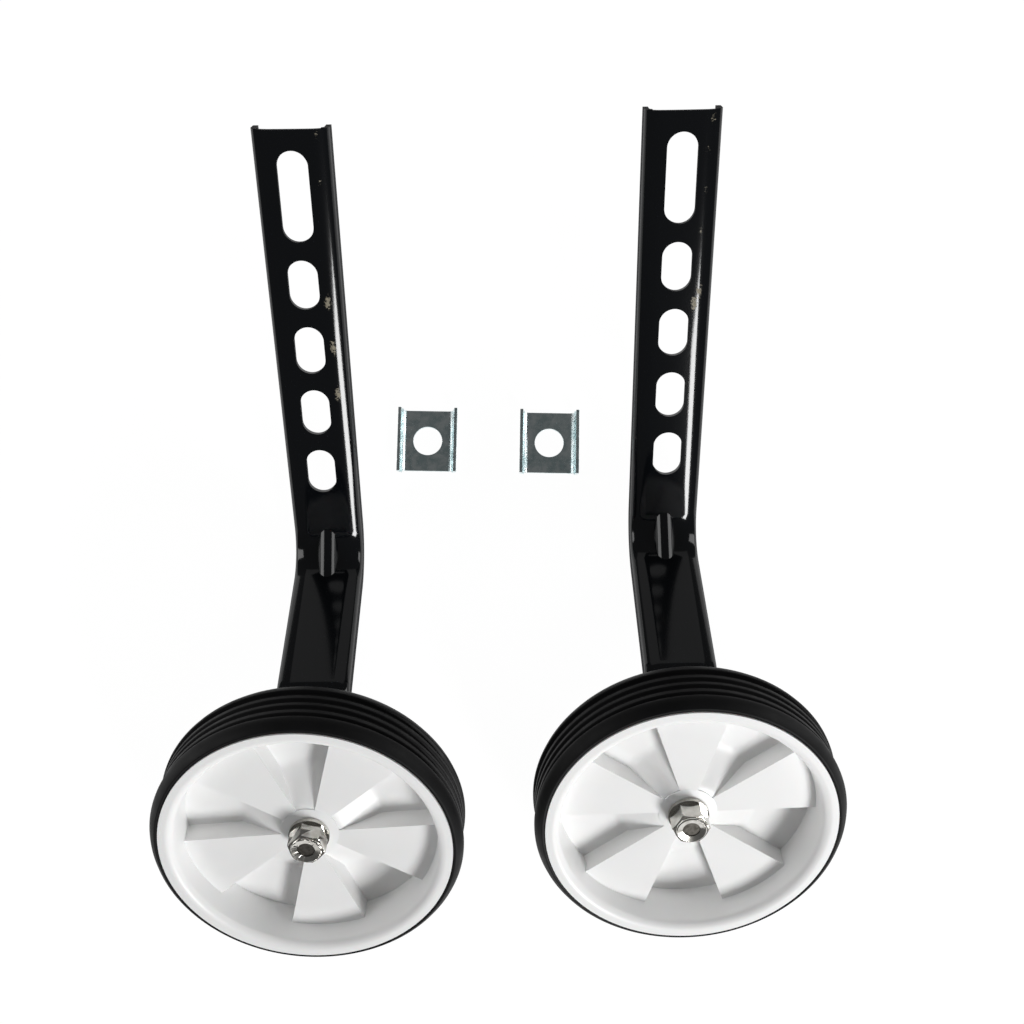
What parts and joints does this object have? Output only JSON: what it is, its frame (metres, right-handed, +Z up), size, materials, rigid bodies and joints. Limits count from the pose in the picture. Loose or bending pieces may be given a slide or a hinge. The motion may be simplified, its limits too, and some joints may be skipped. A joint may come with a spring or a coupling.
{
  "type": "bicycle training wheels",
  "caption": "Bicycle training wheels: cranked slotted channel arms, each carrying a free-turning moulded wheel with a ribbed tyre, and folded locating plates.",
  "frame": {"origin": "middle of the laid-out set, on the surface that it lies on", "axes": "+Z up from the surface, +Y along the arms from the wheels to the slotted ends, +X from the left wheel to the right one"},
  "size_m": [0.2702, 0.328, 0.1118],
  "materials": {
    "black_enamel": "gloss black enamel on pressed steel",
    "zinc_steel": "bright zinc plate",
    "zinc_plate": "blue-white zinc plate, rolled sheet",
    "white_polypropylene": "white moulded plastic, low gloss",
    "black_rubber": "satin black moulded tyre"
  },
  "bodies": {
    "arms": {"left_arm": "black_enamel", "left_axle_bolt": "zinc_steel", "left_spring_washer": "zinc_steel", "left_jam_nut": "zinc_steel", "left_inner_washer": "zinc_steel", "left_sleeve": "zinc_steel", "left_outer_washer": "zinc_steel", "left_lock_nut": "zinc_steel", "left_plate": "zinc_plate", "right_arm": "black_enamel", "right_axle_bolt": "zinc_steel", "right_spring_washer": "zinc_steel", "right_jam_nut": "zinc_steel", "right_inner_washer": "zinc_steel", "right_sleeve": "zinc_steel", "right_outer_washer": "zinc_steel", "right_lock_nut": "zinc_steel", "right_plate": "zinc_plate"},
    "left_roller": {"left_wheel": "white_polypropylene", "left_tyre": "black_rubber"},
    "right_roller": {"right_wheel": "white_polypropylene", "right_tyre": "black_rubber"}
  },
  "joints": [
    {"name": "left_wheel_spin", "type": "hinge", "parent": "arms", "child": "left_roller", "pos_m": [-0.07435, -0.10897, 0.04433], "axis": [0.0071, -0.5843, 0.8115], "continuous": true},
    {"name": "right_wheel_spin", "type": "hinge", "parent": "arms", "child": "right_roller", "pos_m": [0.07431, -0.10134, 0.04433], "axis": [0.0117, -0.5842, 0.8115], "continuous": true}
  ]
}
